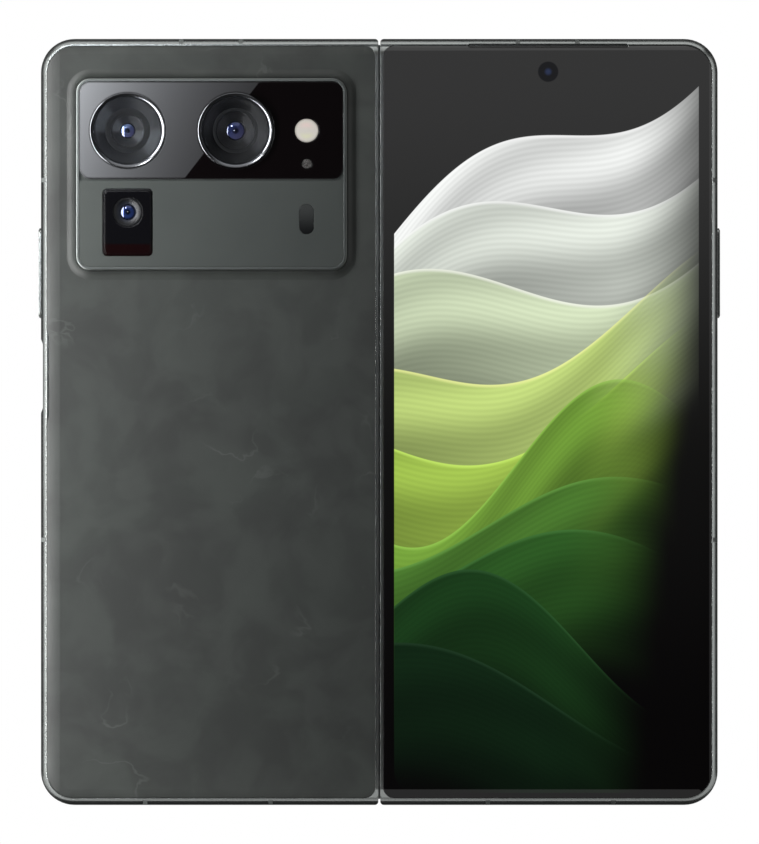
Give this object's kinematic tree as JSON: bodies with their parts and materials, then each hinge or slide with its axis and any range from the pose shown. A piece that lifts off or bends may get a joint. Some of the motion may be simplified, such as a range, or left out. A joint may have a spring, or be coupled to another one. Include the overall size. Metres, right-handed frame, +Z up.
{
  "type": "foldable smartphone",
  "caption": "Book-style folding phone, open flat and upright, with a camera island, a cover display, a folding inner screen, geared hinge, side keys and card tray.",
  "frame": {"origin": "middle of the open phone at its lower edge, on the seam between the halves", "axes": "+Z up along the hinge, +Y out of the inner screen, -Y out of the camera and cover display side, +X from the camera half to the display half"},
  "size_m": [0.142, 0.0096, 0.1594],
  "materials": {
    "frame_metal": "graphite, bright satin crown",
    "band_plastic": "moulded in",
    "rear_cover": "matte mineral-like finish with faint veins",
    "polished_rim": "polished",
    "deck_metal": "fine satin",
    "camera_glass": "polished black glass",
    "lens_glass": "coated",
    "camera_black": "black",
    "flash_lens": "frosted",
    "sensor": "tinted",
    "focus_window": "tinted",
    "board": "solder resist",
    "shield": "stamped",
    "battery_foil": "foil",
    "socket_steel": "drawn",
    "black_plastic": "fine texture",
    "flex": "film",
    "screen": "off, glossy",
    "hinge_steel": "machined",
    "screw_steel": "machined",
    "idler_brass": "hobbed",
    "spine_metal": "satin",
    "cover_glass": "polished glass with a black print behind it",
    "cover_display": "lit picture",
    "earpiece_mesh": "fine mesh"
  },
  "bodies": {
    "camera_half": {"camera_half_frame": "frame_metal", "camera_half_antenna_bands": "band_plastic", "rear_cover": "rear_cover", "camera_rim": "polished_rim", "camera_deck": "deck_metal", "camera_glass": "camera_glass", "main_lens_ring": "polished_rim", "portrait_lens_ring": "polished_rim", "lens_glasses": "lens_glass", "main_camera": "camera_black", "portrait_camera": "camera_black", "wide_camera": "camera_black", "wide_camera_window": "camera_black", "flash_lens": "flash_lens", "light_sensor": "sensor", "focus_window": "focus_window", "main_board": "board", "shield_cans": "shield", "camera_half_battery": "battery_foil", "charging_board": "board", "usb_socket": "socket_steel", "usb_tongue": "black_plastic", "loudspeaker": "black_plastic", "camera_half_key_flex": "flex", "camera_half_bezel": "black_plastic", "camera_half_screen": "screen", "camera_half_wing_plate": "hinge_steel", "camera_half_hinge_arms": "hinge_steel", "camera_half_gear_shafts": "hinge_steel", "camera_half_arm_screws": "screw_steel"},
    "spine": {"spine_cover": "spine_metal", "hinge_brackets": "hinge_steel", "bracket_screws": "screw_steel", "idler_pins": "hinge_steel", "folding_screen": "screen"},
    "display_half": {"display_half_frame": "frame_metal", "display_half_antenna_bands": "band_plastic", "cover_glass": "cover_glass", "cover_display_panel": "cover_display", "cover_camera": "camera_black", "earpiece_grille": "earpiece_mesh", "earpiece_receiver": "black_plastic", "display_half_battery": "battery_foil", "sub_board": "board", "display_half_key_flex": "flex", "vibration_motor": "shield", "inner_camera": "camera_black", "display_half_bezel": "black_plastic", "display_half_screen": "screen", "display_half_wing_plate": "hinge_steel", "display_half_hinge_arms": "hinge_steel", "display_half_gear_shafts": "hinge_steel", "display_half_arm_screws": "screw_steel"},
    "left_idlers": {"left_idler_gears": "idler_brass"},
    "right_idlers": {"right_idler_gears": "idler_brass"},
    "volume_key": {"volume_key": "frame_metal"},
    "power_key": {"power_key": "frame_metal"},
    "side_key": {"side_key": "frame_metal"},
    "card_tray": {"card_tray": "frame_metal"}
  },
  "joints": [
    {"name": "fold_a", "type": "hinge", "parent": "camera_half", "child": "spine", "pos_m": [-0.00215, 0.00285, 0.0797], "axis": [0, 0, 1], "range_deg": [0, 90], "deforming": ["folding_screen"]},
    {"name": "fold_b", "type": "hinge", "parent": "spine", "child": "display_half", "pos_m": [0.00215, 0.00285, 0.0797], "axis": [0, 0, 1], "range_deg": [0, 90], "deforming": ["folding_screen"]},
    {"name": "left_idler_spin", "type": "hinge", "parent": "spine", "child": "left_idlers", "pos_m": [-0.0012, 0.00109, 0.0797], "axis": [0, 0, 1], "range_deg": [0, 60]},
    {"name": "right_idler_spin", "type": "hinge", "parent": "spine", "child": "right_idlers", "pos_m": [0.0012, 0.00109, 0.0797], "axis": [0, 0, 1], "range_deg": [-60, 0]},
    {"name": "volume_rock", "type": "hinge", "parent": "camera_half", "child": "volume_key", "pos_m": [-0.0695, 0.00135, 0.1107], "axis": [0, 1, 0], "range_deg": [-1.5, 1.5], "stiffness_Nm_per_rad": 0.05},
    {"name": "power_press", "type": "slide", "parent": "camera_half", "child": "power_key", "axis": [1, 0, 0], "range_m": [0, 0.00025], "stiffness_N_per_m": 400},
    {"name": "side_press", "type": "slide", "parent": "display_half", "child": "side_key", "axis": [-1, 0, 0], "range_m": [0, 0.00025], "stiffness_N_per_m": 400},
    {"name": "tray_slide", "type": "slide", "parent": "display_half", "child": "card_tray", "axis": [0, 0, -1], "range_m": [0, 0.016]}
  ],
  "couplings": [
    {"joint": "fold_a", "follows": "fold_b", "ratio": 1},
    {"joint": "left_idler_spin", "follows": "fold_b", "ratio": 0.66667},
    {"joint": "right_idler_spin", "follows": "fold_b", "ratio": -0.66667}
  ]
}
